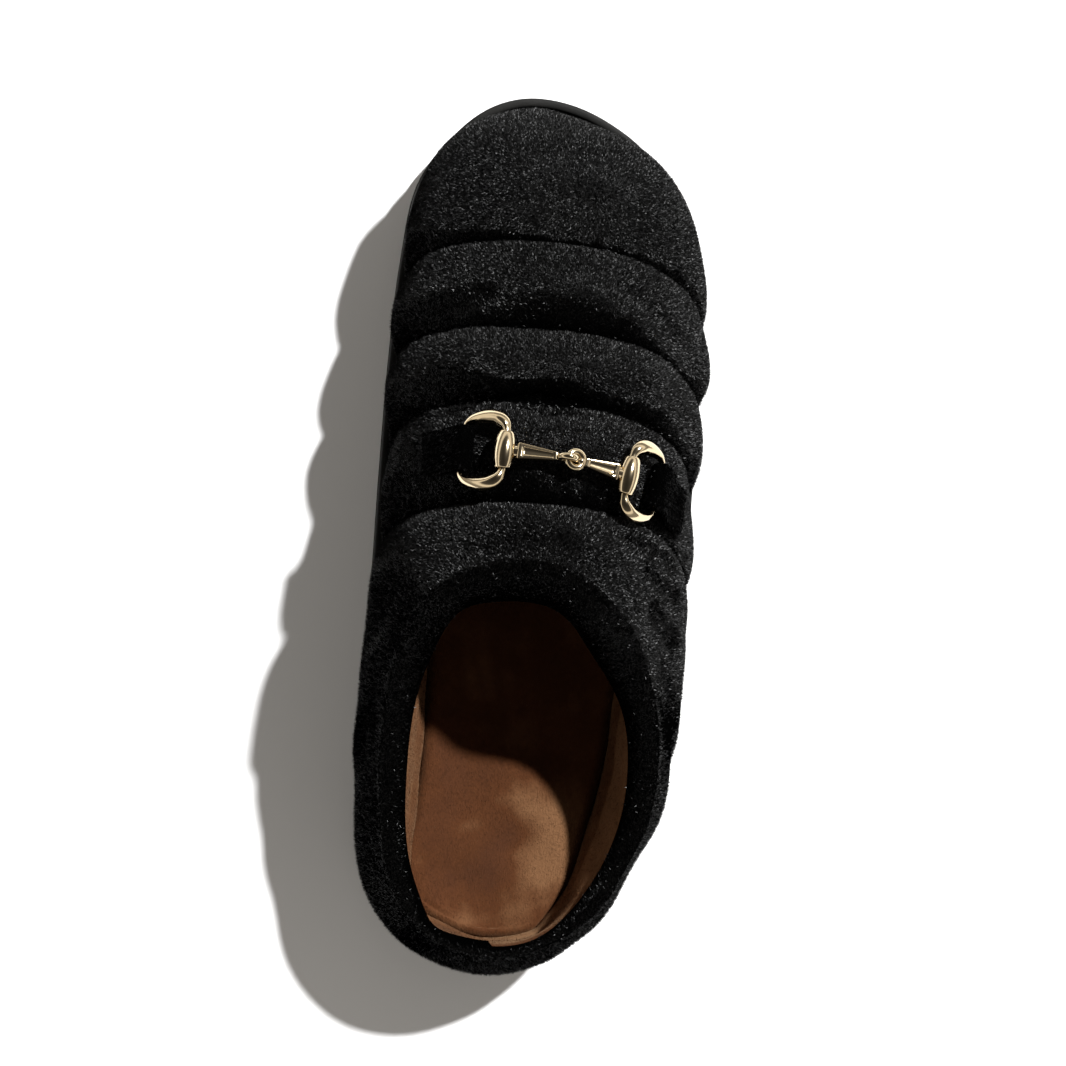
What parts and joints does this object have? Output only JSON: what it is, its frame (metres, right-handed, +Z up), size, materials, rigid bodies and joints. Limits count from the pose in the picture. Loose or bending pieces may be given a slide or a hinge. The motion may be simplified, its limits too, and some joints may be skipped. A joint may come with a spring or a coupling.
{
  "type": "quilted winter slipper",
  "caption": "Padded slip-on winter slipper for the right foot: quilted plush upper open at a low collar, soft footbed, rubber sole with a toe lip, and a linked bit ornament on straps.",
  "frame": {"origin": "on the floor under the middle of the slipper's box", "axes": "+Y to the toe, +X to the outer (lateral) side, +Z up"},
  "size_m": [0.1015, 0.2697, 0.0925],
  "materials": {
    "rubber": "matt black moulded rubber",
    "caramel_plush": "brushed short-pile plush",
    "black_plush": "short-pile plush with a light sheen",
    "velvet": "black velvet ribbon",
    "gilt": "polished pale gilt"
  },
  "bodies": {
    "root": {"outsole": "rubber", "insole": "caramel_plush", "upper": "black_plush", "strap_medial": "velvet", "strap_lateral": "velvet", "bit_ring_medial": "gilt", "bit_ring_lateral": "gilt", "bit_arm_medial": "gilt", "bit_arm_lateral": "gilt"}
  },
  "joints": []
}
